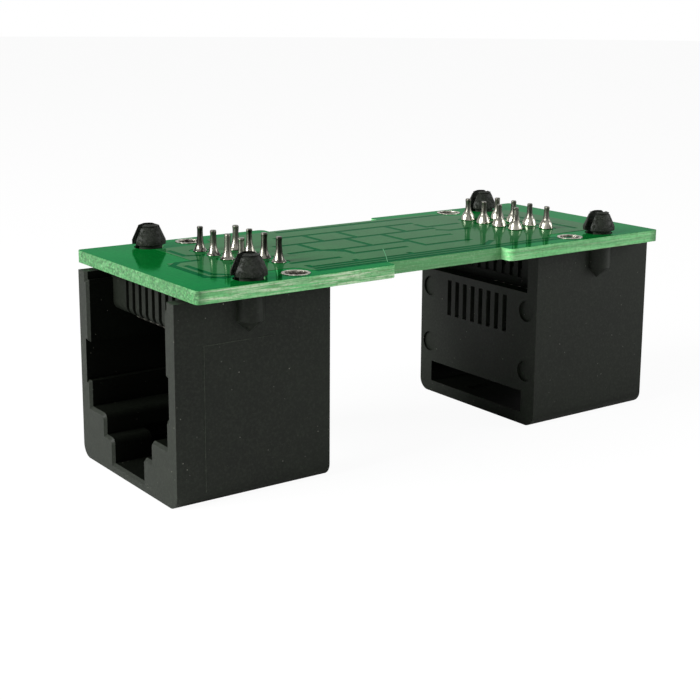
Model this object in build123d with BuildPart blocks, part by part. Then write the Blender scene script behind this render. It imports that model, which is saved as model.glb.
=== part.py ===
"""Inline coupler for two eight-way modular network plugs.

Two moulded board-mount jacks hang under a small circuit board, back to back, so
that their plug openings face out at its two ends. Each jack is a housing with a
contact carrier and eight round-wire contacts, soldered into the board.

X runs from the left opening to the right one, Y across the board and Z up. The
origin is on the surface that the jacks stand on, under the middle of the board.
"""

from build123d import *
import os

# Slack when edges and corners are picked by their place, in millimetres like every size here
slack = 0.001

# Circuit board
board_length = 44.4
board_side_margin = 1.8
board_thickness = 0.95
board_corner_radius = 0.3
waist_length = 11.1
waist_depth = 1.1
waist_corner_radius = 0.5

# Jack housing, a block that stands on its two rounded bottom edges
jack_depth = 12.75
jack_height = 14.6
jack_overhang = 0.78
bottom_edge_radius = 1.0
standoff_height = 0.2
rear_wall = 1.2
floor_thickness = 0.7

# Plug cavity, from the latch channel at the bottom to the rebate at the top
plug_width = 11.68
plug_clearance = 0.16
side_wall = 1.425
latch_half_width = 2.4
latch_step_height = 2.6
shelf_half_width = 3.65
shelf_height = 4.2
guide_groove_depth = 0.5
guide_groove_low = 6.2
guide_groove_high = 9.25
rebate_width = 0.25
rebate_depth = 0.6
step_corner_radius = 0.45
mouth_bevel = 0.2

# Rear face: core window, contact slots, carrier recess and ejector marks
window_half_width = 5.88
window_low = 1.0
window_high = 2.82
shelf_web = 3.2
rear_slot_low = 7.45
rear_slot_high = 10.57
rear_slot_width = 0.5
recess_sill_height = 11.2
ejector_radius = 0.88
ejector_depth = 0.2
ejector_inset = 1.22
ejector_low = 4.58
ejector_high = 9.65

# Snap pegs, which clip the housing to the board, and the ribs under them
peg_setback = 5.95
peg_inset = 0.05
peg_radius = 1.03
peg_hole_clearance = 0.12
peg_head_radius = 1.3
peg_head_top_radius = 0.85
peg_head_lift = 0.27
peg_head_lip = 0.3
peg_head_height = 1.3
peg_crown_radius = 0.12
peg_slit_width = 0.62
rib_length = 1.76
rib_point_length = 0.84
rib_tip_radius = 0.08
pad_to_ring_gap = 0.41
pad_width = 0.7

# Contacts, wires with a soldered pin at one end and a free spring at the other
contact_count = 8
contact_pitch = 1.02
wire_diameter = 0.38
slot_clearance = 0.03
row_spacing = 2.54
pin_rise = 1.9
wire_bend_radius = 0.6
wire_depth = 0.8
nose_drop = 0.1
wire_inset = 0.75
free_end_lift = 1.3
free_end_reach = 0.25

# Contact carrier, which holds the wires in grooves and combs
carrier_setback = 2.1
carrier_rear_gap = 1.6
carrier_clearance = 0.05
carrier_thickness = 2.1
nose_length = 1.8
nose_back_slope = 0.5
nose_height = 3.1
nose_radius = 0.7
comb_slot_depth = 1.26
rear_comb_depth = 0.75
pin_to_carrier_end = 0.3

# Solder joints and plated holes
solder_gap = 0.25
solder_foot_radius = 0.6
solder_height = 1.05
solder_foot_thickness = 0.06
solder_sag = 0.1
tab_hole_rear_gap = 3.15
tab_hole_inset = 1.52
tab_hole_radius = 0.8
plating_thickness = 0.05
plating_rim = 0.24

# Places that follow from the sizes
opening_half_width = plug_width / 2 + plug_clearance
jack_width = 2 * (opening_half_width + side_wall)
board_width = jack_width + 2 * board_side_margin
front_x = -(board_length / 2 + jack_overhang)
rear_x = front_x + jack_depth
cavity_depth = jack_depth - rear_wall
window_reach = jack_depth - shelf_web
groove_half_width = opening_half_width + guide_groove_depth
rebate_half_width = opening_half_width + rebate_width
rebate_floor = jack_height - rebate_depth
board_bottom = jack_height + standoff_height
board_top = board_bottom + board_thickness
peg_x = front_x + peg_setback
peg_y = jack_width / 2 - peg_inset
wire_radius = wire_diameter / 2
slot_width = wire_diameter + 2 * slot_clearance
carrier_front = front_x + carrier_setback
carrier_rear = rear_x - carrier_rear_gap
carrier_top = jack_height - carrier_clearance
wire_run_height = jack_height - wire_depth
groove_floor = wire_run_height - wire_radius - carrier_clearance
inner_pin_x = carrier_rear - pin_to_carrier_end
outer_pin_x = inner_pin_x - row_spacing
contact_ys = [(i - (contact_count - 1) / 2) * contact_pitch for i in range(contact_count)]
tab_hole_x = rear_x - tab_hole_rear_gap
tab_hole_y = board_width / 2 - tab_hole_inset
pad_reach = tab_hole_x - tab_hole_radius - plating_rim - pad_to_ring_gap - peg_x
both_ends = (("left", 0), ("right", 180))


def pin_place(i):
    """X and Y of contact i's pin in the left jack: odd ones are nearer the opening."""
    return (outer_pin_x if i % 2 else inner_pin_x), contact_ys[i]


def turned(x, y, turn):
    """The place that a point of the left jack has in the jack turned by 0 or 180 degrees."""
    return (x, y) if turn == 0 else (-x, -y)


# Jack housing: block, ribs, cavity, rear face, then pegs on top
with BuildPart() as jack_housing:
    with BuildSketch(Plane.YZ.offset(front_x)):
        Rectangle(jack_width, jack_height, align=(Align.CENTER, Align.MIN))
        fillet(vertices().group_by(Axis.Y)[0], bottom_edge_radius)
    extrude(amount=jack_depth)

    rib_foot = jack_height - rib_length
    with Locations((peg_x, peg_y, rib_foot), (peg_x, -peg_y, rib_foot)):
        Cylinder(peg_radius, rib_length, align=(Align.CENTER, Align.CENTER, Align.MIN))
        Cone(rib_tip_radius, peg_radius, rib_point_length, align=(Align.CENTER, Align.CENTER, Align.MAX))

    # Plug cavity, one stepped profile pushed in from the front
    with BuildSketch(Plane.YZ.offset(front_x)):
        with BuildLine():
            Polyline(
                (0, floor_thickness),
                (latch_half_width, floor_thickness),
                (latch_half_width, latch_step_height),
                (shelf_half_width, latch_step_height),
                (shelf_half_width, shelf_height),
                (opening_half_width, shelf_height),
                (opening_half_width, guide_groove_low),
                (groove_half_width, guide_groove_low),
                (groove_half_width, guide_groove_high),
                (opening_half_width, guide_groove_high),
                (opening_half_width, rebate_floor),
                (rebate_half_width, rebate_floor),
                (rebate_half_width, jack_height),
                (0, jack_height),
            )
            mirror(about=Plane.YZ)
        make_face()
        step_corners = vertices().filter_by(
            lambda v: abs(v.Y - latch_step_height) < slack and abs(v.X) < latch_half_width + slack
        ) + vertices().filter_by(
            lambda v: abs(v.Y - shelf_height) < slack and abs(v.X) < shelf_half_width + slack
        )
        fillet(step_corners, step_corner_radius)
    extrude(amount=cavity_depth, mode=Mode.SUBTRACT)

    # Bevel round the plug opening
    chamfer(
        edges()
        .filter_by(lambda e: abs(e.center().X - front_x) < slack)
        .filter_by(lambda e: abs(e.center().Y) < rebate_half_width + slack)
        .filter_by(lambda e: e.center().Z > floor_thickness / 2),
        mouth_bevel,
    )

    # Rebate carried on through the rear wall, and the recess under it
    with BuildSketch(Plane.YZ.offset(rear_x)):
        with Locations((0, recess_sill_height)):
            Rectangle(2 * rebate_half_width, jack_height - recess_sill_height, align=(Align.CENTER, Align.MIN))
    extrude(amount=-rear_wall, mode=Mode.SUBTRACT)

    # Core window, which hollows the shelves from behind
    with BuildSketch(Plane.YZ.offset(rear_x)):
        with Locations((0, (window_low + window_high) / 2)):
            Rectangle(2 * window_half_width, window_high - window_low)
    extrude(amount=-window_reach, mode=Mode.SUBTRACT)

    # Slots in which the free ends of the contacts move
    with BuildSketch(Plane.YZ.offset(rear_x)):
        with Locations((0, (rear_slot_low + rear_slot_high) / 2)):
            with GridLocations(contact_pitch, 0, contact_count, 1):
                Rectangle(rear_slot_width, rear_slot_high - rear_slot_low)
    extrude(amount=-rear_wall, mode=Mode.SUBTRACT)

    # Round marks of the ejector pins
    with BuildSketch(Plane.YZ.offset(rear_x)):
        with Locations((0, (ejector_low + ejector_high) / 2)):
            with GridLocations(jack_width - 2 * ejector_inset, ejector_high - ejector_low, 2, 2):
                Circle(ejector_radius)
    extrude(amount=-ejector_depth, mode=Mode.SUBTRACT)

    # Pads that carry the board
    pad_y = (jack_width - pad_width) / 2
    with BuildSketch(Plane.XY.offset(jack_height)):
        with Locations((peg_x, pad_y), (peg_x, -pad_y)):
            Rectangle(2 * pad_reach, pad_width)
    extrude(amount=standoff_height)

    # Snap pegs, turned about their own axes and slit along X into two prongs
    for side in (1, -1):
        with BuildSketch(Plane.XZ.offset(-side * peg_y)):
            with BuildLine():
                head_base = board_top + peg_head_lift
                Polyline(
                    (peg_x, jack_height),
                    (peg_x + peg_radius, jack_height),
                    (peg_x + peg_radius, head_base),
                    (peg_x + peg_head_radius, head_base),
                    (peg_x + peg_head_radius, head_base + peg_head_lip),
                    (peg_x + peg_head_top_radius, head_base + peg_head_height),
                    (peg_x, head_base + peg_head_height),
                    close=True,
                )
            make_face()
            fillet(vertices().group_by(Axis.Y)[-1].sort_by(Axis.X)[-1], peg_crown_radius)
        revolve(axis=Axis((peg_x, side * peg_y, 0), (0, 0, 1)))
    with BuildSketch(Plane.XY.offset(board_top + peg_head_lift + peg_head_height)):
        with Locations((peg_x, peg_y), (peg_x, -peg_y)):
            Rectangle(2 * peg_head_radius + peg_slit_width, peg_slit_width)
    extrude(amount=-(board_thickness + peg_head_lift + peg_head_height), mode=Mode.SUBTRACT)

# Contact carrier: a slab in the rebate with a nose that hangs into the opening
with BuildPart() as contact_carrier:
    with BuildSketch(Plane.XZ.offset(-(opening_half_width - carrier_clearance))):
        with BuildLine():
            Polyline(
                (carrier_front, carrier_top),
                (carrier_front, jack_height - nose_height),
                (carrier_front + nose_length, jack_height - nose_height),
                (carrier_front + nose_length + nose_back_slope, jack_height - carrier_thickness),
                (carrier_rear, jack_height - carrier_thickness),
                (carrier_rear, carrier_top),
                close=True,
            )
        make_face()
        fillet(vertices().group_by(Axis.Y)[0].sort_by(Axis.X)[0], nose_radius)
    extrude(amount=2 * (opening_half_width - carrier_clearance))

    # Flanges that rest on the rebate
    with BuildSketch(Plane.XY.offset(rebate_floor)):
        with Locations(((carrier_front + carrier_rear) / 2, 0)):
            Rectangle(carrier_rear - carrier_front, 2 * (rebate_half_width - carrier_clearance))
    extrude(amount=carrier_top - rebate_floor)

    # Grooves for the wires, and the combs at both ends
    for i, contact_y in enumerate(contact_ys):
        groove_end = pin_place(i)[0] + wire_radius + carrier_clearance
        with BuildSketch(Plane.XY.offset(carrier_top)):
            with Locations((carrier_front, contact_y)):
                Rectangle(groove_end - carrier_front, slot_width, align=(Align.MIN, Align.CENTER))
        extrude(amount=-(carrier_top - groove_floor), mode=Mode.SUBTRACT)
        with BuildSketch(Plane.XY.offset(carrier_top)):
            with Locations((carrier_front, contact_y)):
                Rectangle(comb_slot_depth, slot_width, align=(Align.MIN, Align.CENTER))
            with Locations((carrier_rear, contact_y)):
                Rectangle(rear_comb_depth, slot_width, align=(Align.MAX, Align.CENTER))
        extrude(amount=-nose_height, mode=Mode.SUBTRACT)


def make_contact(i):
    """Contact i of the left jack: pin, run along the carrier, bend round its nose, spring."""
    pin_x, contact_y = pin_place(i)
    nose_x = carrier_front + wire_inset
    with BuildPart() as contact:
        with BuildLine(Plane.XZ.offset(-contact_y)) as route:
            FilletPolyline(
                (pin_x, board_top + pin_rise),
                (pin_x, wire_run_height),
                (nose_x, wire_run_height),
                (nose_x, jack_height - nose_height - nose_drop),
                (front_x + cavity_depth + free_end_reach, rear_slot_low + free_end_lift),
                radius=wire_bend_radius,
            )
        with BuildSketch(Plane(origin=route.line @ 0, z_dir=route.line % 0)):
            Circle(wire_radius)
        sweep()
    return contact


# Circuit board with its waist, and holes for pegs, pins and tabs
with BuildPart() as circuit_board:
    with BuildSketch(Plane.XY.offset(board_bottom)):
        Rectangle(board_length, board_width)
        with GridLocations(0, board_width, 1, 2):
            Rectangle(waist_length, 2 * waist_depth, mode=Mode.SUBTRACT)
        fillet(vertices().group_by(Axis.X)[0] + vertices().group_by(Axis.X)[-1], board_corner_radius)
        fillet(
            vertices().filter_by(lambda v: abs(v.X) < waist_length and abs(v.Y) > board_width / 2 - waist_depth / 2),
            waist_corner_radius,
        )
        with Locations(*[turned(peg_x, side * peg_y, turn) for side in (1, -1) for _, turn in both_ends]):
            Circle(peg_radius + peg_hole_clearance, mode=Mode.SUBTRACT)
        with Locations(*[turned(*pin_place(i), turn) for i in range(contact_count) for _, turn in both_ends]):
            Circle(wire_radius + solder_gap, mode=Mode.SUBTRACT)
        with GridLocations(2 * tab_hole_x, 2 * tab_hole_y, 2, 2):
            Circle(tab_hole_radius + plating_thickness, mode=Mode.SUBTRACT)
    extrude(amount=board_thickness)

# Solder joint: fills the hole round a pin and climbs it in a hollow cone
with BuildPart() as solder_joint:
    with BuildSketch(Plane.XZ):
        with BuildLine():
            Polyline(
                (wire_radius, board_top + solder_height),
                (wire_radius, board_bottom),
                (wire_radius + solder_gap, board_bottom),
                (wire_radius + solder_gap, board_top),
                (solder_foot_radius, board_top),
                (solder_foot_radius, board_top + solder_foot_thickness),
            )
            SagittaArc(
                (solder_foot_radius, board_top + solder_foot_thickness),
                (wire_radius, board_top + solder_height),
                solder_sag,
            )
        make_face()
    revolve(axis=Axis.Z)

# Plated hole: a thin barrel through the board with a rim above and below
with BuildPart() as plated_hole:
    with BuildSketch(Plane.XZ):
        with BuildLine():
            barrel_radius = tab_hole_radius + plating_thickness
            rim_radius = tab_hole_radius + plating_rim
            Polyline(
                (tab_hole_radius, board_bottom - plating_thickness),
                (rim_radius, board_bottom - plating_thickness),
                (rim_radius, board_bottom),
                (barrel_radius, board_bottom),
                (barrel_radius, board_top),
                (rim_radius, board_top),
                (rim_radius, board_top + plating_thickness),
                (tab_hole_radius, board_top + plating_thickness),
                close=True,
            )
        make_face()
    revolve(axis=Axis.Z)


def save(piece, name):
    """Label a finished piece and write it as its own STEP file."""
    piece.part.label = name
    export_step(piece.part, f"parts/{name}.step")


os.makedirs("parts", exist_ok=True)
save(circuit_board, "circuit_board")
contacts = [make_contact(i) for i in range(contact_count)]

for end, turn in both_ends:
    with BuildPart() as housing:
        add(jack_housing.part, rotation=(0, 0, turn))
    save(housing, f"{end}_jack_housing")
    with BuildPart() as carrier:
        add(contact_carrier.part, rotation=(0, 0, turn))
    save(carrier, f"{end}_contact_carrier")
    for i in range(contact_count):
        with BuildPart() as contact:
            add(contacts[i].part, rotation=(0, 0, turn))
        save(contact, f"{end}_contact_{i + 1}")
        with BuildPart() as joint:
            with Locations(turned(*pin_place(i), turn)):
                add(solder_joint.part)
        save(joint, f"{end}_solder_joint_{i + 1}")
    for place, side in (("near", -1), ("far", 1)):
        with BuildPart() as ring:
            with Locations((tab_hole_x if end == "left" else -tab_hole_x, side * tab_hole_y)):
                add(plated_hole.part)
        save(ring, f"{end}_{place}_plated_hole")
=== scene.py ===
"""Looks of the bare inline coupler: two moulded jacks under a small green circuit board."""

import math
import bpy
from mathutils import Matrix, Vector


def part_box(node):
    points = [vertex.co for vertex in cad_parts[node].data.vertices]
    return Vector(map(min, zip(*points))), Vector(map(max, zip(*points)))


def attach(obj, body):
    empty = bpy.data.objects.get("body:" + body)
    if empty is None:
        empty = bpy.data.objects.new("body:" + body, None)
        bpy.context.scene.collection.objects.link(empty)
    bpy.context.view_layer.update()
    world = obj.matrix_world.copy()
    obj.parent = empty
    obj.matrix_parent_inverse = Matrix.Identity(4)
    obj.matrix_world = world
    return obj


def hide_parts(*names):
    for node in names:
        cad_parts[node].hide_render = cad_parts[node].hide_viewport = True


bl_info = {
    "name": "Inline coupler looks",
    "version": (1, 0, 0),
    "blender": (4, 5, 0),
    "location": "View3D > Sidebar > Coupler",
    "description": "Dresses the packed inline coupler: board, copper, jacks, wires, solder, stage",
    "category": "Object",
}

import bmesh
import bpy
from bpy.props import FloatProperty, FloatVectorProperty, IntProperty, PointerProperty
from mathutils import Matrix, Vector

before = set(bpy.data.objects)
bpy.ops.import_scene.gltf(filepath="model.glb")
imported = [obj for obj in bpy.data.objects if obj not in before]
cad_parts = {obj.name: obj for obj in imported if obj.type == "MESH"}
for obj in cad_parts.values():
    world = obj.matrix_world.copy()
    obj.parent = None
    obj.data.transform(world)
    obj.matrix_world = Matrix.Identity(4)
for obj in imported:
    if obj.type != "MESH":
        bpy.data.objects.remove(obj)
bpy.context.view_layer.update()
board_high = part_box("circuit_board")[1]
board_top = board_high.z

BODY = "root"
ENDS = ("left", "right")
CONTACTS = range(1, 9)
MM = 0.001
WHITE = (1.0, 1.0, 1.0, 1.0)

# Points this close become one, and so do faces that meet at less than this angle in degrees
WELD = 0.001 * MM
FLAT_ANGLE = 0.6

# An edge is rounded where its faces meet at more than this angle in degrees
MOULDED_ANGLE = 28
BLOCK_ANGLE = 40
BOARD_ANGLE = 60

# The normal of a level face points up by more than LEVEL, of an upright one by less than UPRIGHT
LEVEL = 0.9
UPRIGHT = 0.1

# A hair's breadth, and the reach of a search for the board's corners
HAIR = 0.01 * MM
CORNER_REACH = 0.1 * MM

# Tables in millimetres, with flat places on the board's top

# Middle lines of the gaps between the copper pours
GAP_LINES = (
    ((-11.5, -7.8), (13.2, -7.8)),
    ((-11.2, -7.15), (12.2, -7.15)),
    ((-11.2, -6.05), (-11.2, -6.5), (5.4, -6.5), (6.8, -5.5)),
    ((-6.95, -6.05), (-6.95, -6.5)),
    ((-1.9, -6.05), (-1.9, -6.5)),
    ((-11.6, -4.6), (-7.5, -4.6)),
    ((-5.5, -1.9), (-5.5, -3.85), (-0.6, -3.85)),
    ((1.25, 1.75), (1.25, -4.1), (5.7, -4.1)),
    ((1.25, -1.3), (6.0, -1.3)),
    ((-9.6, -1.3), (-7.0, -1.3), (-5.5, -2.9)),
    ((-7.0, 1.75), (-7.0, -1.5), (-5.5, -1.9), (1.25, -1.9)),
    ((-2.35, 1.75), (-2.35, -1.9)),
    ((-9.0, 1.75), (6.7, 1.75)),
    ((-4.45, 4.8), (-4.45, 1.75)),
    ((-1.15, 4.8), (-1.15, 1.75)),
    ((3.9, 4.8), (3.9, 1.75)),
    ((-7.0, 4.8), (6.7, 4.8)),
    ((-5.3, 7.1), (13.5, 7.1)),
    ((6.7, 3.9), (6.7, 2.6), (10.0, 2.6)),
    ((6.6, 0.9), (7.3, 0.25), (9.3, 0.25)),
    ((-16.8, 0.25), (-18.4, 0.25), (-19.3, -0.6), (-19.3, -5.4), (-18.4, -6.3), (-16.8, -6.3)),
    ((-18.5, -1.3), (-18.5, -4.8), (-17.6, -5.6)),
    ((-16.7, 4.7), (-16.7, 2.3), (-15.8, 1.9)),
    ((16.9, -4.7), (16.9, 3.5), (15.9, 4.5)),
)

# A light scratch across the mask
SCRATCH = (((-5.52, -8.0), (-4.55, -6.6), (-3.5, -5.0), (-2.59, -3.57)),)

# Blocks along these lines rise in small steps, so that no two tops lie in one plane
BLOCK_STEP = 0.00016
BLOCK_STEPS = 37

# Corners that the copper leaves free, as middle and size
BARE_CORNERS = (((-18.6, 3.6), (2.8, 6.6)),)

# Outline of all the pours: half its length and width, and where its corners step in
POUR_HALF = (19.3, 7.85)
POUR_STEP = (12.0, 5.95)

# In heights of the copper: the plate's depth, how far it sinks in, its cutters and its rounding,
# then the depth of the thin lines on the board, their rounding and the level of the scratch
PLATE_DEPTH = 1.2
PLATE_SINKS = 0.2
CUTTER_DEPTH = 4
POUR_ROUNDING = 0.5
LINE_DEPTH = 0.4
LINE_ROUNDING = 0.1
SCRATCH_LEVEL = 0.96

# In widths of a gap
FLOOR_WIDTH = 0.98
SCRATCH_WIDTH = 0.12

# Corners round a bare land
LAND_SIDES = 24

# The inside of a jack's mouth, where the plastic is painted darker and less glossy as painted
# shade: distances from the part's middle, half width and heights
MOUTH_REACH = (11.2, 22.7)
MOUTH_HALF_WIDTH = 6.6
MOUTH_HEIGHTS = (0.3, 14.3)

# Rounding of a carrier's edges, as a share of the housing's
CARRIER_ROUNDING = 0.6

# Comb at a carrier's rear, as distance from that end, thickness, height of its middle and height;
# its sheet hides the springs as painted shade
COMB_SHADE_SHEET = (0.28, 0.2, 11.85, 1.5)
COMB_RAIL = (0.09, 0.18, 11.5, 0.8)
COMB_TOOTH = (0.09, 0.18, 12.25, 0.7)
COMB_HALF_WIDTH = 5.9
TOOTH_HALF_WIDTH = 0.29
TEETH = 9
PITCH = 1.02

# Lines on a jack's side, as distance from the opening, length, height above the base and height
WITNESS_LINES = (
    (2.25, 0.06, 0.95, 10.5),
    (2.25, 3.6, 11.42, 0.06),
    (6.6, 1.2, 11.42, 0.05),
)
WITNESS_THICKNESS = 0.045
JACK_HALF_WIDTH = 7.425

# Rings of a solder joint, as height above the board and radius
JOINT_RINGS = {
    "left": (
        (-0.95, 0.43), (-0.04, 0.43), (0.00, 0.57), (0.05, 0.56), (0.13, 0.46), (0.25, 0.385),
        (0.42, 0.325), (0.62, 0.28), (0.85, 0.248), (1.20, 0.228), (1.66, 0.225), (1.76, 0.248),
        (1.85, 0.243), (1.885, 0.20),
    ),
    "right": (
        (-0.95, 0.43), (-0.04, 0.43), (0.00, 0.61), (0.07, 0.605), (0.18, 0.58), (0.34, 0.54),
        (0.50, 0.485), (0.64, 0.41), (0.76, 0.30), (1.10, 0.222), (1.66, 0.222), (1.76, 0.238),
        (1.85, 0.232), (1.885, 0.19),
    ),
}

# How much a joint leans, in radians, and how much wider or slimmer it is than the others
JOINT_LEAN = math.radians(1.0)
JOINT_SPREAD = 0.05

# Where one look gives way to the next: heights above the board's top
# Where the pegs' painted highlight begins
PEG_HIGHLIGHT_STARTS = (0.0, 0.3)
SOLDER_THINS = (0.4, 0.9)
BARREL_ENDS = (-0.10, 0.02)

# The same on the board's sawn edges: distances from its middle
THREADS_FADE = (0.0, 8.0)
# Where the painted shade along the waist fades in
WAIST_SHADE_ENDS = (8.3, 8.9)
SHORT_EDGE_STARTS = (21.2, 22.15)

# The stage, in metres and watts, and the camera's sensor in millimetres
FLOOR_RADIUS = 1.2
FLOOR_DEPTH = 0.01
FLOOR_SIDES = 96
FLOOR_GREY = (0.86, 0.86, 0.86, 1.0)
FLOOR_GLOW = 0.95
LAMPS = (
    ("left_lamp", (-0.27, 0.03, 0.14), 0.16, 2.3),
    ("right_lamp", (0.17, -0.12, 0.085), 0.11, 0.32),
)
LAMP_TARGET = (0.0, 0.0, 0.01)
SENSOR_WIDTH = 36.0
CAMERA_SEES = (0.005, 20.0)


class CouplerSizes(bpy.types.PropertyGroup):
    """Sizes of the details that only the looks have."""

    plastic_edge: FloatProperty(
        name="Plastic edge", description="Rounding of the moulded edges", default=0.00007,
        unit="LENGTH")
    board_edge: FloatProperty(
        name="Board edge", description="Rounding of the board's sawn edges", default=0.00004,
        unit="LENGTH")
    board_corner: FloatProperty(
        name="Board corner", description="Rounding of the board's four corners", default=0.00035,
        unit="LENGTH")
    comb_edge: FloatProperty(
        name="Comb edge", description="Rounding of the edges of the combs", default=0.00003,
        unit="LENGTH")
    line_edge: FloatProperty(
        name="Line edge", description="Rounding of the raised lines", default=0.000012,
        unit="LENGTH")
    rim_edge: FloatProperty(
        name="Rim edge", description="Rounding of the plated rims", default=0.00002,
        unit="LENGTH")
    peg_rise: FloatProperty(
        name="Peg rise", description="How far a worn peg's middle stands up", default=0.00012,
        unit="LENGTH")
    peg_round: FloatProperty(
        name="Peg round", description="Rounding of a worn peg's top", default=0.00034,
        unit="LENGTH")
    copper_height: FloatProperty(
        name="Copper height", description="How far the masked copper stands above the board",
        default=0.00002, unit="LENGTH")
    copper_corner: FloatProperty(
        name="Copper corner", description="Rounding of the outline of the pours", default=0.0009,
        unit="LENGTH")
    gap_width: FloatProperty(
        name="Gap width", description="Width of the gaps between the pours", default=0.00048,
        unit="LENGTH")
    joint_land: FloatProperty(
        name="Joint land", description="Radius that the copper leaves free round a pin",
        default=0.00085, unit="LENGTH")
    hole_land: FloatProperty(
        name="Hole land", description="Radius that the copper leaves free round a plated hole",
        default=0.0013, unit="LENGTH")
    solder_sides: IntProperty(
        name="Solder sides", description="Corners round a solder joint", default=28, min=12,
        max=64)
    ripple_size: FloatProperty(
        name="Ripple size", description="Size of the ripples on the solder", default=0.0006,
        unit="LENGTH")
    ripple_height: FloatProperty(
        name="Ripple height", description="Height of the ripples on the solder", default=0.00007,
        unit="LENGTH")


class CouplerColours(bpy.types.PropertyGroup):
    """Colours of the finishes."""

    mask: FloatVectorProperty(
        name="Mask", description="Solder mask over bare laminate", subtype="COLOR",
        default=(0.002, 0.136, 0.021))
    copper_mask: FloatVectorProperty(
        name="Mask on copper", description="Solder mask over copper", subtype="COLOR",
        default=(0.018, 0.158, 0.044))
    mirror: FloatVectorProperty(
        name="Mirror", description="Tint of what the mask mirrors at a low angle",
        subtype="COLOR", default=(0.33, 0.65, 0.47))
    copper_mirror: FloatVectorProperty(
        name="Mirror on copper", description="The same where the mask covers copper",
        subtype="COLOR", default=(0.49, 0.47, 0.475))
    # Mask over bare laminate in the grooves, painted darker still as painted shade
    gap: FloatVectorProperty(
        name="Mask in the gaps", description="Solder mask in the narrow gaps", subtype="COLOR",
        default=(0.001, 0.062, 0.014))
    scratch: FloatVectorProperty(
        name="Scratch", description="Mask where it is scratched", subtype="COLOR",
        default=(0.12, 0.29, 0.15))
    mask_speck: FloatVectorProperty(
        name="Specks", description="Specks under the mask", subtype="COLOR",
        default=(0.02, 0.03, 0.02))
    fibre: FloatVectorProperty(
        name="Fibre", description="Sawn long edges of the laminate", subtype="COLOR",
        default=(0.125, 0.42, 0.155))
    # Painted darker than the long edges, as painted shade on the short edges
    shaded_fibre_end: FloatVectorProperty(
        name="Fibre ends", description="Sawn short edges of the laminate", subtype="COLOR",
        default=(0.025, 0.108, 0.035))
    thread: FloatVectorProperty(
        name="Threads", description="Pale glass threads in the long edges", subtype="COLOR",
        default=(0.50, 0.60, 0.42))
    thread_gap: FloatVectorProperty(
        name="Between threads", description="Dark lines in the long edges", subtype="COLOR",
        default=(0.10, 0.20, 0.075))
    end_blotch: FloatVectorProperty(
        name="End blotches", description="Paler blotches on the short edges", subtype="COLOR",
        default=(0.09, 0.20, 0.095))
    saw_dark: FloatVectorProperty(
        name="Dark saw marks", description="Dark grains of the sawn edges", subtype="COLOR",
        default=(0.085, 0.20, 0.075))
    saw_light: FloatVectorProperty(
        name="Light saw marks", description="Light grains of the sawn edges", subtype="COLOR",
        default=(0.22, 0.42, 0.20))
    plastic: FloatVectorProperty(
        name="Plastic", description="Moulded housing", subtype="COLOR",
        default=(0.0066, 0.0082, 0.0058))
    dust: FloatVectorProperty(
        name="Dust", description="Specks of dust on the plastic", subtype="COLOR",
        default=(0.20, 0.20, 0.17))
    # Painted highlight on the pegs' tops above the board
    peg_highlight: FloatVectorProperty(
        name="Scuffs", description="Scuffed tops of the pegs", subtype="COLOR",
        default=(0.030, 0.033, 0.026))
    # Darkened as painted shade for the springs inside the jacks
    shaded_tin: FloatVectorProperty(
        name="Tin", description="Tinned wire", subtype="COLOR", default=(0.15, 0.145, 0.125))
    solder: FloatVectorProperty(
        name="Solder", description="Solder joints", subtype="COLOR", default=(0.57, 0.56, 0.47))
    flux: FloatVectorProperty(
        name="Flux", description="Flux left on the plated rims", subtype="COLOR",
        default=(0.12, 0.11, 0.09))
    # Painted shade inside a plated hole, mottled light and dark
    deep_barrel_shade: FloatVectorProperty(
        name="Dark barrel", description="Dark parts inside a plated hole", subtype="COLOR",
        default=(0.03, 0.028, 0.022))
    pale_barrel_shade: FloatVectorProperty(
        name="Light barrel", description="Bright parts inside a plated hole", subtype="COLOR",
        default=(0.20, 0.19, 0.16))


class CouplerStage(bpy.types.PropertyGroup):
    """Camera and light."""

    camera_place: FloatVectorProperty(
        name="Camera place", description="Where the camera stands", subtype="TRANSLATION",
        default=(-0.065153, -0.08592, 0.034547))
    heading: FloatProperty(
        name="Heading", description="Turn of the camera from the board's width towards its length",
        subtype="ANGLE", default=math.radians(35.826))
    tilt: FloatProperty(
        name="Tilt", description="How far the camera looks down", subtype="ANGLE",
        default=math.radians(11.618))
    roll: FloatProperty(
        name="Roll", description="Turn about the line of sight", subtype="ANGLE",
        default=math.radians(0.365))
    lens: FloatProperty(
        name="Lens", description="Focal length of the camera", default=69.98, unit="CAMERA")
    drop: FloatProperty(name="Drop", description="Shift of the picture", default=-0.1)
    ambient: FloatProperty(
        name="Ambient", description="Strength of the light from all sides", default=0.20)


def alone(piece):
    """Only this piece is selected and active."""
    bpy.ops.object.select_all(action="DESELECT")
    piece.select_set(True)
    bpy.context.view_layer.objects.active = piece


def edit(piece, how="FACE"):
    """Edit mode on this piece, with nothing selected in it."""
    alone(piece)
    bpy.ops.object.mode_set(mode="EDIT")
    bpy.ops.mesh.select_mode(type=how)
    bpy.ops.mesh.select_all(action="DESELECT")
    return bmesh.from_edit_mesh(piece.data)


def leave(piece):
    """Back to object mode."""
    bpy.ops.object.mode_set(mode="OBJECT")
    return piece


def face_outwards():
    """All faces of the piece in edit mode face outwards."""
    bpy.ops.mesh.select_all(action="SELECT")
    bpy.ops.mesh.normals_make_consistent(inside=False)


def newest(name):
    """Names the piece that an operator has just added."""
    piece = bpy.context.view_layer.objects.active
    piece.name = name
    piece.data.name = name
    return piece


def settle(piece):
    """Puts a piece's place, turn and size into its mesh."""
    alone(piece)
    bpy.ops.object.transform_apply(location=True, rotation=True, scale=True)
    return piece


def add_block(name, middle, size, turn=0.0):
    """A block with this middle and size, turned about Z."""
    bpy.ops.mesh.primitive_cube_add(
        size=1.0, location=middle, rotation=(0, 0, turn), scale=size)
    return newest(name)


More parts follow.
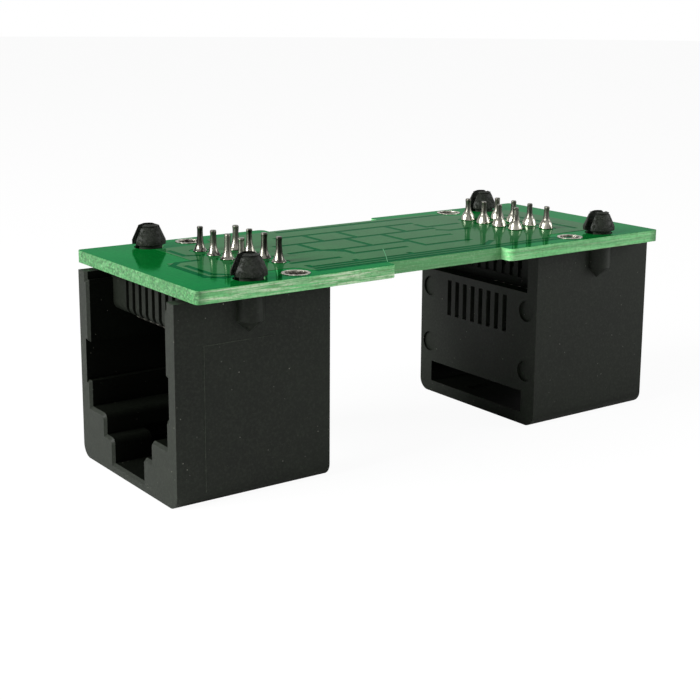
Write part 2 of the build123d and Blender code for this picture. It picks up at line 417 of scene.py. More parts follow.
def joined(pieces, name):
    """Several pieces as one, with its place in its mesh."""
    bpy.ops.object.select_all(action="DESELECT")
    for piece in pieces:
        piece.select_set(True)
    bpy.context.view_layer.objects.active = pieces[0]
    bpy.ops.object.join()
    return settle(newest(name))


def add_modifier(piece, kind, **settings):
    """Adds a modifier with its settings and applies it."""
    alone(piece)
    modifier = piece.modifiers.new(kind.lower(), kind)
    for name, value in settings.items():
        setattr(modifier, name, value)
    bpy.ops.object.modifier_apply(modifier=modifier.name)


def merged_copy(node, name):
    """A copy of a CAD node as one merged mesh with whole flat faces."""
    piece = bpy.data.objects.new(name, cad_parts[node].data.copy())
    bpy.context.scene.collection.objects.link(piece)
    piece.data.name = name
    piece.data.materials.clear()
    alone(piece)
    bpy.ops.mesh.customdata_custom_splitnormals_clear()
    bpy.ops.object.mode_set(mode="EDIT")
    bpy.ops.mesh.select_all(action="SELECT")
    bpy.ops.mesh.remove_doubles(threshold=WELD)
    bpy.ops.mesh.dissolve_limited(angle_limit=math.radians(FLAT_ANGLE))
    return leave(piece)


def round_edges(piece, width, angle=BLOCK_ANGLE):
    """Small rounded edges that catch the light."""
    add_modifier(
        piece, "BEVEL", width=width, segments=2, limit_method="ANGLE",
        angle_limit=math.radians(angle), harden_normals=True, use_clamp_overlap=True)


def fit(piece, nodes, slot, *materials):
    """Rides a finished piece on the frame in the place of these nodes."""
    piece.data.materials.clear()
    for material in materials:
        piece.data.materials.append(material)
    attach(piece, BODY)
    if nodes:
        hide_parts(*nodes)


def inward(end):
    """The sign of X from this end's opening towards the middle of the part."""
    return 1 if end == "left" else -1


def scaled(colour, share):
    """A darker or lighter shade of a colour."""
    return tuple(min(1.0, c * share) for c in colour[:3])


def bounds_mm(pair, start=0.0):
    """A pair of millimetres in metres, counted from a start in metres."""
    return [start + value * MM for value in pair]


class Nodes:
    """The nodes of a material or a world, put together one by one."""

    def __init__(self, owner):
        owner.use_nodes = True
        self.tree = owner.node_tree
        self.tree.nodes.clear()

    def node(self, kind, settings=None, **inputs):
        """A new node with its own settings, and its sockets fed by name."""
        made = self.tree.nodes.new(kind)
        for name, value in (settings or {}).items():
            setattr(made, name, value)
        for name, value in inputs.items():
            self.feed(made.inputs[name.replace("_", " ")], value)
        return made

    def feed(self, socket, value):
        """Links a socket to a node's output, or sets it to a constant."""
        if isinstance(value, bpy.types.NodeSocket):
            self.tree.links.new(value, socket)
        else:
            socket.default_value = value

    def feed_all(self, sockets, values):
        """Feeds the first sockets in order."""
        for socket, value in zip(sockets, values):
            self.feed(socket, value)

    def math(self, operation, a, b=0.0):
        """One step of arithmetic."""
        made = self.node("ShaderNodeMath", {"operation": operation})
        self.feed_all(made.inputs, (a, b))
        return made.outputs[0]

    def ranged(self, value, low, high, to_low=0.0, to_high=1.0):
        """A value taken from one range to another and kept inside it."""
        made = self.node("ShaderNodeMapRange", {"clamp": True})
        self.feed_all(made.inputs, (value, low, high, to_low, to_high))
        return made.outputs[0]


class Finish(Nodes):
    """A material with one shader, in places of the object itself."""

    def __init__(self, name):
        self.material = bpy.data.materials.new(name)
        super().__init__(self.material)
        self.shader = self.node("ShaderNodeBsdfPrincipled")
        self.node("ShaderNodeOutputMaterial", Surface=self.shader.outputs[0])
        self.place = self.node("ShaderNodeTexCoord").outputs["Object"]

    def set(self, **inputs):
        """Feeds the shader's sockets by name."""
        for name, value in inputs.items():
            self.feed(self.shader.inputs[name.replace("_", " ")], value)

    def stretched(self, x, y, z):
        """The place with its own scale along each axis."""
        return self.node("ShaderNodeMapping", Vector=self.place, Scale=(x, y, z)).outputs[0]

    def axis(self, name):
        """The place along one axis."""
        return self.node("ShaderNodeSeparateXYZ", Vector=self.place).outputs[name]

    def noise(self, scale, detail=3.0, rough=0.55, where=None, distortion=0.0):
        """Cloudy noise."""
        return self.node(
            "ShaderNodeTexNoise", Vector=where or self.place, Scale=scale, Detail=detail,
            Roughness=rough, Distortion=distortion).outputs["Fac"]

    def cells(self, scale, where=None, randomness=1.0):
        """Distance to the nearest of many scattered points."""
        return self.node(
            "ShaderNodeTexVoronoi", Vector=where or self.place, Scale=scale,
            Randomness=randomness).outputs["Distance"]

    def bands(self, way, scale):
        """Wavy bands that follow each other along one axis."""
        return self.node(
            "ShaderNodeTexWave", {"wave_type": "BANDS", "bands_direction": way},
            Vector=self.place, Scale=scale, Distortion=4.0, Detail=2.0,
            Detail_Scale=1.5).outputs["Fac"]

    def mix(self, share, a, b):
        """From colour a to colour b as the share grows."""
        made = self.node("ShaderNodeMix", {"data_type": "RGBA", "blend_type": "MIX"})
        self.feed(made.inputs[0], share)
        for socket, value in ((made.inputs[6], a), (made.inputs[7], b)):
            linked = isinstance(value, bpy.types.NodeSocket)
            self.feed(socket, value if linked else (*value[:3], 1.0))
        return made.outputs[2]

    def bump(self, height, strength, distance, under=None):
        """Fine relief, on top of the relief that is under it."""
        made = self.node("ShaderNodeBump", Height=height, Strength=strength, Distance=distance)
        if under:
            self.feed(made.inputs["Normal"], under)
        return made.outputs[0]


def moulded_plastic(name, share, gloss=0.11):
    """Matt black nylon with a fine moulded grain, dust and painted highlight on the pegs' tops."""
    colours = bpy.context.scene.coupler_colours
    shade = scaled(colours.plastic, share)
    f = Finish(name)
    broad = f.noise(160.0, 4.0)
    grain = f.noise(5200.0, 3.0, 0.65)
    body = f.mix(f.ranged(broad, 0.3, 0.7), scaled(shade, 0.85), scaled(shade, 1.25))
    body = f.mix(f.ranged(grain, 0.45, 0.75, 0.0, 0.6), body, scaled(shade, 2.6))
    sparse = f.ranged(f.noise(900.0, 2.0), 0.50, 0.64)
    speck = f.ranged(f.cells(1900.0), 0.03, 0.10, 1.0, 0.0)
    dust = f.math("MULTIPLY", speck, sparse)
    body = f.mix(f.math("MULTIPLY", dust, 0.75), body, colours.dust)
    # Lighter patches on the pegs' tops above the board, as painted highlight
    worn = f.ranged(f.axis("Z"), *bounds_mm(PEG_HIGHLIGHT_STARTS, board_top))
    patches = f.ranged(f.noise(3000.0, 5.0, 0.8), 0.50, 0.66, 0.0, 0.5)
    peg_highlight = f.math("MULTIPLY", worn, patches)
    body = f.mix(peg_highlight, body, colours.peg_highlight)
    relief = f.bump(f.noise(900.0, 3.0), 0.10, 0.00004)
    relief = f.bump(peg_highlight, 0.9, 0.00016, relief)
    relief = f.bump(grain, 0.35, 0.00002, relief)
    rough = f.ranged(broad, 0.25, 0.75, 0.44, 0.60)
    f.set(Base_Color=body, Roughness=rough, Normal=relief, Specular_IOR_Level=gloss)
    return f.material


def solder_mask(name, colour, weave_share, mirror):
    """Glossy green lacquer over the laminate or over copper."""
    f = Finish(name)
    cloud = f.noise(240.0, 4.0, 0.6)
    fine = f.noise(2600.0, 3.0, 0.6)
    weave = f.math("MULTIPLY", f.bands("X", 700.0), f.bands("Y", 700.0))
    body = f.mix(f.ranged(cloud, 0.3, 0.72), scaled(colour, 0.9), scaled(colour, 1.12))
    body = f.mix(f.math("MULTIPLY", weave, weave_share), body, scaled(colour, 1.5))
    body = f.mix(f.ranged(fine, 0.40, 0.70, 0.0, 0.5), body, scaled(colour, 0.62))
    spots = f.ranged(f.cells(700.0), 0.02, 0.06, 1.0, 0.0)
    sparse = f.ranged(f.noise(500.0, 2.0), 0.55, 0.62)
    speck = f.math("MULTIPLY", f.math("MULTIPLY", spots, sparse), 0.7)
    body = f.mix(speck, body, bpy.context.scene.coupler_colours.mask_speck)
    relief = f.bump(weave, 0.04, 0.00002, f.bump(cloud, 0.06, 0.0001))
    f.set(
        Base_Color=body, Roughness=f.ranged(cloud, 0.3, 0.7, 0.06, 0.11), Normal=relief,
        Metallic=0.5, Specular_IOR_Level=0.0, Specular_Tint=(*mirror, 1.0))
    return f.material


def glass_fibre():
    """Sawn edges of the laminate: streaks on the long edges, cut threads on the short ones; the
    short edges and the long edges' waist are painted darker as painted shade.
    """
    colours = bpy.context.scene.coupler_colours
    f = Finish("glass_fibre_edge")
    layers = f.noise(1.0, 5.0, 0.65, f.stretched(110.0, 900.0, 4200.0), 0.3)
    threads = f.noise(1.0, 4.0, 0.75, f.stretched(260.0, 1200.0, 6500.0))
    lines = f.noise(1.0, 3.0, 0.7, f.stretched(500.0, 900.0, 9000.0))
    blotch = f.noise(2400.0, 4.0, 0.7)
    grain = f.noise(4200.0, 3.0, 0.7)
    along = f.math("ABSOLUTE", f.axis("X"))
    across = f.math("ABSOLUTE", f.axis("Y"))

    fibre = colours.fibre
    side = f.mix(f.ranged(layers, 0.38, 0.62), scaled(fibre, 0.62), scaled(fibre, 1.1))
    fade = f.ranged(f.axis("X"), *bounds_mm(THREADS_FADE), 0.85, 0.2)
    pale = f.math("MULTIPLY", fade, f.ranged(threads, 0.48, 0.58))
    side = f.mix(pale, side, colours.thread)
    side = f.mix(f.ranged(lines, 0.56, 0.64, 0.0, 0.6), side, colours.thread_gap)
    # The long edges are painted darker along the notched waist, as painted shade
    waist_shade = f.ranged(across, *bounds_mm(WAIST_SHADE_ENDS), 0.8, 0.0)
    side = f.mix(waist_shade, side, scaled(fibre, 0.48))

    # The short edges' colour is painted darker, as painted shade
    fibre = colours.shaded_fibre_end
    dots = f.cells(1.0, f.stretched(1500.0, 3600.0, 5200.0), 0.9)
    end = f.mix(f.ranged(dots, 0.15, 0.70), scaled(fibre, 1.5), scaled(fibre, 0.6))
    end = f.mix(f.ranged(blotch, 0.50, 0.62, 0.0, 0.6), end, colours.end_blotch)
    dull = f.ranged(f.noise(420.0, 3.0), 0.45, 0.7, 0.0, 0.4)
    end = f.mix(dull, end, scaled(fibre, 0.6))

    body = f.mix(f.ranged(along, *bounds_mm(SHORT_EDGE_STARTS)), side, end)
    body = f.mix(f.ranged(grain, 0.50, 0.64, 0.0, 0.45), body, colours.saw_dark)
    body = f.mix(f.ranged(grain, 0.46, 0.34, 0.0, 0.30), body, colours.saw_light)
    f.set(
        Base_Color=body, Roughness=f.ranged(blotch, 0.3, 0.7, 0.5, 0.75),
        Normal=f.bump(threads, 0.35, 0.00005, f.bump(blotch, 0.35, 0.00006)),
        Specular_IOR_Level=0.2)
    return f.material


def shaded_tinned_wire():
    """Tinned wire darkened all over as painted shade for the springs inside the jacks, drawn and
    streaked along its length.
    """
    shaded_tin = bpy.context.scene.coupler_colours.shaded_tin
    f = Finish("shaded_tinned_wire")
    streak = f.noise(1.0, 4.0, 0.65, f.stretched(5200.0, 5200.0, 900.0))
    spots = f.noise(3600.0, 3.0)
    body = f.mix(f.ranged(streak, 0.35, 0.65), scaled(shaded_tin, 0.45), scaled(shaded_tin, 1.3))
    body = f.mix(f.ranged(spots, 0.58, 0.7, 0.0, 0.6), body, scaled(shaded_tin, 0.35))
    f.set(
        Base_Color=body, Roughness=f.ranged(spots, 0.3, 0.7, 0.28, 0.48),
        Normal=f.bump(streak, 0.3, 0.00003), Metallic=1.0)
    return f.material


def flowed_solder(name, foot_share, stem_share, dark):
    """Tin solder, bright at the foot and duller where it thins up the pin, with dark streaks as
    painted reflection; each end's shares paint its light and shade.
    """
    solder = bpy.context.scene.coupler_colours.solder
    f = Finish(name)
    climb = f.ranged(f.axis("Z"), *bounds_mm(SOLDER_THINS, board_top))
    streak = f.noise(1.0, 3.0, 0.5, f.stretched(2600.0, 2600.0, 260.0), 0.4)
    frost = f.noise(5200.0, 2.0)
    # Dark and bright streaks across the solder, as painted reflection
    foot = f.mix(
        f.ranged(streak, 0.40, 0.60), scaled(solder, foot_share * dark),
        scaled(solder, foot_share))
    stem = f.mix(
        f.ranged(streak, 0.42, 0.58), scaled(solder, stem_share * dark),
        scaled(solder, stem_share))
    body = f.mix(climb, foot, stem)
    dull = f.ranged(frost, 0.56, 0.75, 0.0, 0.25)
    body = f.mix(dull, body, scaled(solder, foot_share * 0.4))
    f.set(
        Base_Color=body, Roughness=f.ranged(climb, 0.0, 1.0, 0.20, 0.36),
        Normal=f.bump(streak, 0.4, 0.00006, f.bump(frost, 0.15, 0.00002)), Metallic=1.0)
    return f.material


def rough_plating():
    """Tin left in and round a plated hole, mottled with flux, and darker inside the hole as
    painted shade.
    """
    colours = bpy.context.scene.coupler_colours
    f = Finish("rough_plating")
    mottle = f.noise(3800.0, 4.0, 0.7)
    rim = f.mix(f.ranged(mottle, 0.42, 0.62), colours.flux, scaled(colours.solder, 0.95))
    # Inside the hole the colour is painted darker, as painted shade
    inside = f.mix(f.ranged(mottle, 0.46, 0.60), colours.deep_barrel_shade, colours.pale_barrel_shade)
    barrel = f.ranged(f.axis("Z"), *bounds_mm(BARREL_ENDS, board_top), 1.0, 0.0)
    f.set(
        Base_Color=f.mix(barrel, rim, inside), Roughness=f.ranged(mottle, 0.3, 0.7, 0.5, 0.25),
        Normal=f.bump(mottle, 0.8, 0.00008), Metallic=0.9)
    return f.material


finishes = {}


def finish_of(name):
    """A finish, made the first time that a piece asks for it."""
    c = bpy.context.scene.coupler_colours
    makers = {
        "mask": lambda: solder_mask("mask_on_laminate", c.mask, 0.35, c.mirror),
        # The grooves' mask and its mirror tint are painted darker, as painted shade
        "gap": lambda: solder_mask("mask_in_gaps_painted_shade", c.gap, 0.0, scaled(c.mirror, 0.8)),
        "copper": lambda: solder_mask("mask_on_copper", c.copper_mask, 0.10, c.copper_mirror),
        "scratch": lambda: solder_mask("scratched_mask", c.scratch, 0.0, c.mirror),
        "fibre": glass_fibre,
        "plastic": lambda: moulded_plastic("moulded_plastic", 1.0),
        # Lighter copy of the plastic, as painted highlight on the raised lines
        "witness": lambda: moulded_plastic("witness_highlight_plastic", 2.4),
        "carrier": lambda: moulded_plastic("carrier_plastic", 0.6, 0.07),
        # Darker, less glossy copy of the plastic, as painted shade inside the mouths
        "mouth": lambda: moulded_plastic("mouth_painted_shade", 0.3, 0.02),
        "wire": shaded_tinned_wire,
        # Each end takes its own copy of one solder colour, as painted light and shade
        "left_solder": lambda: flowed_solder("slim_solder_painted_light", 0.36, 0.22, 0.12),
        "right_solder": lambda: flowed_solder("full_solder_painted_light", 0.72, 0.15, 0.50),
        "plating": rough_plating,
    }
    if name not in finishes:
        finishes[name] = makers[name]()
    return finishes[name]


class COUPLER_OT_board(bpy.types.Operator):
    """Board with lacquered faces and sawn glass fibre edges"""

    bl_idname = "coupler.board"
    bl_label = "Circuit board"

    def execute(self, context):
        sizes = context.scene.coupler_sizes
        board = merged_copy("circuit_board", "laminate_board")
        mesh = edit(board, "EDGE")
        for rim in mesh.edges:
            rim.select = self.is_corner(rim)
        bmesh.update_edit_mesh(board.data)
        bpy.ops.mesh.bevel(offset=sizes.board_corner, segments=4, affect="EDGES")
        leave(board)
        round_edges(board, sizes.board_edge, BOARD_ANGLE)
        fit(board, ["circuit_board"], "board", finish_of("mask"), finish_of("fibre"))
        for face in board.data.polygons:
            face.material_index = int(abs(face.normal.z) < LEVEL)
        return {"FINISHED"}

    def is_corner(self, rim):
        """Whether an edge of the mesh is one of the board's four upright corners"""
        one, other = (v.co for v in rim.verts)
        upright = (one - other).xy.length < HAIR
        outermost = all(abs(one[i]) > board_high[i] - CORNER_REACH for i in (0, 1))
        return upright and outermost


def line_blocks(name, lines, level, depth, width):
    """One mesh of thin blocks that follow these lines on the board, each a touch higher."""
    made = []
    for line in lines:
        for (x0, y0), (x1, y1) in zip(line, line[1:]):
            length = math.hypot(x1 - x0, y1 - y0) * MM
            step = BLOCK_STEP * MM * (len(made) % BLOCK_STEPS)
            middle = ((x0 + x1) / 2 * MM, (y0 + y1) / 2 * MM, level + step)
            turn = math.atan2(y1 - y0, x1 - x0)
            made.append(add_block("line_block", middle, (length + width, width, depth), turn))
    return joined(made, name)


def land_drums(sizes, depth):
    """One mesh of short drums round the soldered pins and the plated holes."""
    drums = []
    for end in ENDS:
        drums += [(f"{end}_solder_joint_{i}", sizes.joint_land) for i in CONTACTS]
        drums += [(f"{end}_{place}_plated_hole", sizes.hole_land) for place in ("near", "far")]
    made = []
    for node, radius in drums:
        low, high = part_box(node)
        middle = (low + high) / 2
        bpy.ops.mesh.primitive_cylinder_add(
            vertices=LAND_SIDES, radius=radius, depth=depth,
            location=(middle.x, middle.y, board_top))
        made.append(newest("land"))
    return joined(made, "land_drums")


class COUPLER_OT_copper(bpy.types.Operator):
    """Masked copper pours on the board's top, parted by narrow gaps"""

    bl_idname = "coupler.copper"
    bl_label = "Copper pours"

    def execute(self, context):
        sizes = context.scene.coupler_sizes
        height, gap = sizes.copper_height, sizes.gap_width
        self.make_pours(sizes)
        # Strips laid in the grooves between the pours carry the painted shade of the grooves
        self.lay_lines(
            "gap_floors_painted_shade", GAP_LINES, board_top, gap * FLOOR_WIDTH, height, finish_of("gap"))
        self.lay_lines(
            "mask_scratch", SCRATCH, board_top + height * SCRATCH_LEVEL, gap * SCRATCH_WIDTH,
            height, finish_of("scratch"))
        return {"FINISHED"}

    def make_pours(self, sizes):
        """The plate of all the pours, cut along the gaps, round the pins and at bare corners"""
        height = sizes.copper_height
        deep = height * CUTTER_DEPTH
        pours = self.make_plate(sizes)
        cutters = [
            line_blocks("gap_blocks", GAP_LINES, board_top, deep, sizes.gap_width),
            land_drums(sizes, deep)]
        for middle, size in BARE_CORNERS:
            place = (middle[0] * MM, middle[1] * MM, board_top)
            cutters.append(
                settle(add_block("bare_corner", place, (size[0] * MM, size[1] * MM, deep))))
        for cutter in cutters:
            add_modifier(
                pours, "BOOLEAN", operation="DIFFERENCE", object=cutter, solver="EXACT",
                use_self=True)
            bpy.data.objects.remove(cutter)
        round_edges(pours, height * POUR_ROUNDING)
        fit(pours, [], "board", finish_of("copper"))

    def make_plate(self, sizes):
        """A thin plate in the outline of all the pours"""
        height = sizes.copper_height
        bpy.ops.mesh.primitive_grid_add(
            x_subdivisions=3, y_subdivisions=3, size=1.0,
            location=(0, 0, board_top - height * PLATE_SINKS))
        plate = newest("copper_pours")
        plate.scale = (2 * POUR_HALF[0] * MM, 2 * POUR_HALF[1] * MM, 1.0)
        settle(plate)
        for axis in (0, 1):
            mesh = edit(plate, "VERT")
            inner = POUR_HALF[axis] * MM / 3
            for v in mesh.verts:
                v.select = abs(abs(v.co[axis]) - inner) < inner * 0.1
            bmesh.update_edit_mesh(plate.data)
            share = [1.0, 1.0, 1.0]
            share[axis] = POUR_STEP[axis] * MM / inner
            bpy.ops.transform.resize(value=share, center_override=(0, 0, board_top))
            leave(plate)
        mesh = edit(plate)
        for face in mesh.faces:
            middle = face.calc_center_median()
            face.select = all(abs(middle[i]) > POUR_STEP[i] * MM for i in (0, 1))
        bmesh.update_edit_mesh(plate.data)
        bpy.ops.mesh.delete(type="FACE")
        bpy.ops.mesh.select_all(action="SELECT")
        bpy.ops.mesh.dissolve_limited()
        bpy.ops.mesh.select_all(action="SELECT")
        bpy.ops.mesh.bevel(offset=sizes.copper_corner, segments=3, affect="VERTICES")
        bpy.ops.mesh.select_all(action="SELECT")
        bpy.ops.mesh.extrude_region_move(
            TRANSFORM_OT_translate={"value": (0, 0, height * PLATE_DEPTH)})
        face_outwards()
        return leave(plate)

    def lay_lines(self, name, lines, level, width, height, finish):
        """A piece of thin lines that lie on the board, with their own finish"""
        piece = line_blocks(name, lines, level, height * LINE_DEPTH, width)
        round_edges(piece, height * LINE_ROUNDING)
        fit(piece, [], "board", finish)


class COUPLER_OT_housings(bpy.types.Operator):
    """Moulded jack housings and contact carriers with fine rounded edges"""

    bl_idname = "coupler.housings"
    bl_label = "Jack housings"

    def execute(self, context):
        sizes = context.scene.coupler_sizes
        for end in ENDS:
            self.make_housing(end, sizes)
            carrier = merged_copy(f"{end}_contact_carrier", f"{end}_carrier_moulding")
            round_edges(carrier, sizes.plastic_edge * CARRIER_ROUNDING, MOULDED_ANGLE)
            fit(carrier, [f"{end}_contact_carrier"], "carrier", finish_of("carrier"))
            self.make_witness_lines(end, sizes.line_edge)
            self.make_rear_comb_and_shade_sheet(end, sizes.comb_edge)
        return {"FINISHED"}

    def make_housing(self, end, sizes):
        """A housing with worn pegs, rounded edges and a mouth painted darker as painted shade"""
        housing = merged_copy(f"{end}_jack_housing", f"{end}_housing_moulding")
        self.round_pegs(housing, sizes)
        round_edges(housing, sizes.plastic_edge, MOULDED_ANGLE)
        fit(
            housing, [f"{end}_jack_housing"], "housing", finish_of("plastic"),
            finish_of("mouth"))
        near, far = bounds_mm(MOUTH_REACH)
        bottom, top = bounds_mm(MOUTH_HEIGHTS)
        # Faces inside the mouth take the painted shade
        for face in housing.data.polygons:
            x, y, z = (abs(v) for v in face.center)
            face.material_index = int(
                near < x < far and y < MOUTH_HALF_WIDTH * MM and bottom < z < top)

    def round_pegs(self, housing, sizes):
        """Worn round tops of the snap pegs"""
        top = max(v.co.z for v in housing.data.vertices) - HAIR
        mesh = edit(housing)
        for face in mesh.faces:
            face.select = face.normal.z > LEVEL and face.calc_center_median().z > top
        bmesh.update_edit_mesh(housing.data)
        bpy.ops.transform.translate(value=(0, 0, sizes.peg_rise))
        leave(housing)
        mesh = edit(housing, "EDGE")
        for rim in mesh.edges:
            raised = min(v.co.z for v in rim.verts) > top
            slopes = sorted(face.normal.z for face in rim.link_faces)
            rim.select = raised and UPRIGHT < slopes[0] < LEVEL < slopes[1]
        bmesh.update_edit_mesh(housing.data)
        bpy.ops.mesh.bevel(offset=sizes.peg_round, segments=3, affect="EDGES")
        leave(housing)

    def make_witness_lines(self, end, edge):
        """Faint raised lines that the mould's insert leaves on one side of the housing, painted
        lighter as painted highlight
        """
        low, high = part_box(f"{end}_jack_housing")
        way = inward(end)
        side = -way * JACK_HALF_WIDTH * MM
        front = low.x if end == "left" else high.x
        made = []
        for start, length, level, height in WITNESS_LINES:
            middle = front + way * (start + length / 2) * MM
            made.append(add_block(
                "line", (middle, side, (level + height / 2) * MM),
                (length * MM, WITNESS_THICKNESS * MM, height * MM)))
        lines = joined(made, f"{end}_witness_lines")
        round_edges(lines, edge)
        fit(lines, [], "housing", finish_of("witness"))

    def make_rear_comb_and_shade_sheet(self, end, edge):
        """The comb that hangs from the carrier's rear end, with a sheet that shuts off the springs
        behind it as painted shade
        """
        low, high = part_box(f"{end}_contact_carrier")
        way = inward(end)
        rear = high.x if end == "left" else low.x
        half = COMB_HALF_WIDTH * MM
        bars = [(COMB_SHADE_SHEET, -half, half), (COMB_RAIL, -half, half)]
        for i in range(TEETH):
            middle = (i - TEETH // 2) * PITCH * MM
            start = -half if i == 0 else middle - TOOTH_HALF_WIDTH * MM
            stop = half if i == TEETH - 1 else middle + TOOTH_HALF_WIDTH * MM
            bars.append((COMB_TOOTH, start, stop))
        made = []
        for (inset, thick, level, height), start, stop in bars:
            made.append(add_block(
                "bar", (rear - way * inset * MM, (start + stop) / 2, level * MM),
                (thick * MM, stop - start, height * MM)))
        comb = joined(made, f"{end}_rear_comb_and_shade_sheet")
        round_edges(comb, edge)
        fit(comb, [], "carrier", finish_of("carrier"))


class COUPLER_OT_solder(bpy.types.Operator):
    """Solder joints that climb their pins, each a little different"""

    bl_idname = "coupler.solder"
    bl_label = "Solder joints"

    def execute(self, context):
        sizes = context.scene.coupler_sizes
        ripple = bpy.data.textures.new("solder_ripple", "CLOUDS")
        ripple.noise_scale = sizes.ripple_size
        for end in ENDS:
            model = self.make_joint(JOINT_RINGS[end], sizes.solder_sides)
            for i in CONTACTS:
                joint = self.place_copy(model, f"{end}_solder_joint_{i}", i)
                add_modifier(joint, "SUBSURF", levels=1, render_levels=1)
                add_modifier(
                    joint, "DISPLACE", texture=ripple, texture_coords="LOCAL",
                    strength=sizes.ripple_height, mid_level=0.5)
                alone(joint)
                bpy.ops.object.shade_smooth()
                fit(joint, [f"{end}_solder_joint_{i}"], "solder", finish_of(f"{end}_solder"))
            bpy.data.objects.remove(model)
        return {"FINISHED"}

    def make_joint(self, rings, sides):
        """One joint on the origin, drawn up ring by ring from its foot"""
        height, radius = rings[0]
        bpy.ops.mesh.primitive_circle_add(
            vertices=sides, radius=radius * MM, fill_type="NGON", location=(0, 0, height * MM))
        joint = newest("joint_model")
        edit(joint, "VERT")
        bpy.ops.mesh.select_all(action="SELECT")
        for next_height, next_radius in rings[1:]:
            rise = (next_height - height) * MM
            bpy.ops.mesh.extrude_region_move(TRANSFORM_OT_translate={"value": (0, 0, rise)})
            share = next_radius / radius
            bpy.ops.transform.resize(
                value=(share, share, 1.0), center_override=(0, 0, next_height * MM))
            height, radius = next_height, next_radius
        face_outwards()
        return settle(leave(joint))

    def place_copy(self, model, node, i):
        """A copy on its own pin, with a lean, a turn and a width that follow from its number"""
        joint = bpy.data.objects.new(node + "_flow", model.data.copy())
        bpy.context.scene.collection.objects.link(joint)
        low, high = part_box(node)
        place = Matrix.Translation(((low.x + high.x) / 2, (low.y + high.y) / 2, board_top))
        lean_x = Matrix.Rotation(JOINT_LEAN * math.sin(i * 2.4), 4, "X")
        lean_y = Matrix.Rotation(JOINT_LEAN * math.cos(i * 1.7), 4, "Y")
        wide = 1.0 + JOINT_SPREAD * math.sin(i * 3.1)
        grow = Matrix.Diagonal((wide, 2 - wide, 1.0, 1.0))
        turn = Matrix.Rotation(i * 1.3, 4, "Z")
        joint.data.transform(place @ lean_y @ lean_x @ grow @ turn)
        return joint


class COUPLER_OT_metal(bpy.types.Operator):
    """Finish of the contact wires and the plated holes"""

    bl_idname = "coupler.metal"
    bl_label = "Wires and plated holes"

    def execute(self, context):
        edge = context.scene.coupler_sizes.rim_edge
        for end in ENDS:
            for i in CONTACTS:
                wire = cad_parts[f"{end}_contact_{i}"]
                wire.data.materials.clear()
                wire.data.materials.append(finish_of("wire"))
            for place in ("near", "far"):
                node = f"{end}_{place}_plated_hole"
                ring = merged_copy(node, node + "_rim")
                round_edges(ring, edge)
                fit(ring, [node], "plating", finish_of("plating"))
        return {"FINISHED"}


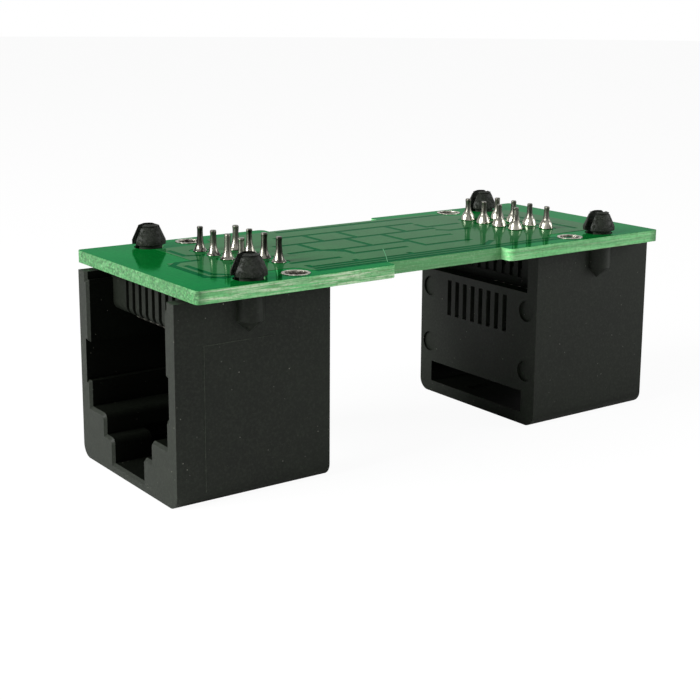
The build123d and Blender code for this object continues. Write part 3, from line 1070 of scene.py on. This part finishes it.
class COUPLER_OT_stage(bpy.types.Operator):
    """White floor, soft light and the camera"""

    bl_idname = "coupler.stage"
    bl_label = "Stage"

    def execute(self, context):
        stage = context.scene.coupler_stage
        self.make_floor()
        self.make_world(stage.ambient)
        self.make_lamps()
        self.make_camera(stage)
        context.scene.view_settings.view_transform = "Standard"
        return {"FINISHED"}

    def make_floor(self):
        """A pale round floor that looks white to the camera"""
        bpy.ops.mesh.primitive_circle_add(
            vertices=FLOOR_SIDES, radius=FLOOR_RADIUS, fill_type="NGON", location=(0, 0, 0))
        floor = newest("floor")
        edit(floor)
        bpy.ops.mesh.select_all(action="SELECT")
        bpy.ops.mesh.extrude_region_move(
            TRANSFORM_OT_translate={"value": (0, 0, -FLOOR_DEPTH)})
        face_outwards()
        leave(floor)
        material = bpy.data.materials.new("white_floor")
        f = Nodes(material)
        cloth = f.node("ShaderNodeBsdfDiffuse", Color=FLOOR_GREY).outputs[0]
        glow = f.node("ShaderNodeEmission", Color=WHITE).outputs[0]
        seen = f.node("ShaderNodeLightPath").outputs["Is Camera Ray"]
        mix = f.node("ShaderNodeMixShader")
        f.feed_all(mix.inputs, (f.math("MULTIPLY", seen, FLOOR_GLOW), cloth, glow))
        f.node("ShaderNodeOutputMaterial", Surface=mix.outputs[0])
        floor.data.materials.append(material)

    def make_world(self, ambient):
        """A white world that lights less than it shows in the camera and in mirrors"""
        world = bpy.data.worlds.new("studio")
        bpy.context.scene.world = world
        w = Nodes(world)
        path = w.node("ShaderNodeLightPath").outputs
        seen = w.math("MAXIMUM", path["Is Camera Ray"], path["Is Glossy Ray"])
        seen = w.math("MAXIMUM", seen, path["Is Transmission Ray"])
        strength = w.ranged(seen, 0.0, 1.0, ambient, 1.0)
        background = w.node("ShaderNodeBackground", Color=WHITE, Strength=strength)
        w.node("ShaderNodeOutputWorld", Surface=background.outputs[0])

    def make_lamps(self):
        """Soft lamps that look at the part"""
        for name, place, size, power in LAMPS:
            bpy.ops.object.light_add(type="AREA", location=place)
            lamp = newest(name)
            lamp.data.size = size
            lamp.data.energy = power
            aim = Vector(LAMP_TARGET) - Vector(place)
            lamp.rotation_euler = aim.to_track_quat("-Z", "Y").to_euler()

    def make_camera(self, stage):
        """The camera, turned by heading, tilt and roll"""
        h, t, r = stage.heading, stage.tilt, stage.roll
        sight = Vector((math.sin(h) * math.cos(t), math.cos(h) * math.cos(t), -math.sin(t)))
        level = Vector((math.cos(h), -math.sin(h), 0.0))
        up = level.cross(sight)
        right = math.cos(r) * level + math.sin(r) * up
        top = math.cos(r) * up - math.sin(r) * level
        turn = Matrix((right, top, -sight)).transposed()
        bpy.ops.object.camera_add(location=stage.camera_place)
        camera = newest("camera")
        camera.rotation_euler = turn.to_euler()
        camera.data.sensor_width = SENSOR_WIDTH
        camera.data.lens = stage.lens
        camera.data.shift_y = stage.drop
        camera.data.clip_start, camera.data.clip_end = CAMERA_SEES
        bpy.context.scene.camera = camera


class COUPLER_PT_panel(bpy.types.Panel):
    """The coupler's steps and settings"""

    bl_label = "Coupler"
    bl_idname = "COUPLER_PT_panel"
    bl_space_type = "VIEW_3D"
    bl_region_type = "UI"
    bl_category = "Coupler"

    def draw(self, context):
        scene = context.scene
        for step in STEPS:
            self.layout.operator(step.bl_idname)
        for group in (scene.coupler_sizes, scene.coupler_colours, scene.coupler_stage):
            box = self.layout.box()
            for name in group.__annotations__:
                box.prop(group, name)


GROUPS = (CouplerSizes, CouplerColours, CouplerStage)
STEPS = (
    COUPLER_OT_board, COUPLER_OT_copper, COUPLER_OT_housings, COUPLER_OT_solder,
    COUPLER_OT_metal, COUPLER_OT_stage)
CLASSES = (*GROUPS, *STEPS, COUPLER_PT_panel)


def register():
    for item in CLASSES:
        bpy.utils.register_class(item)
    bpy.types.Scene.coupler_sizes = PointerProperty(type=CouplerSizes)
    bpy.types.Scene.coupler_colours = PointerProperty(type=CouplerColours)
    bpy.types.Scene.coupler_stage = PointerProperty(type=CouplerStage)


def unregister():
    del bpy.types.Scene.coupler_stage
    del bpy.types.Scene.coupler_colours
    del bpy.types.Scene.coupler_sizes
    for item in reversed(CLASSES):
        bpy.utils.unregister_class(item)


def main():
    """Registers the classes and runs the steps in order."""
    register()
    bpy.ops.coupler.board()
    bpy.ops.coupler.copper()
    bpy.ops.coupler.housings()
    bpy.ops.coupler.solder()
    bpy.ops.coupler.metal()
    bpy.ops.coupler.stage()


if __name__ == "__main__":
    main()
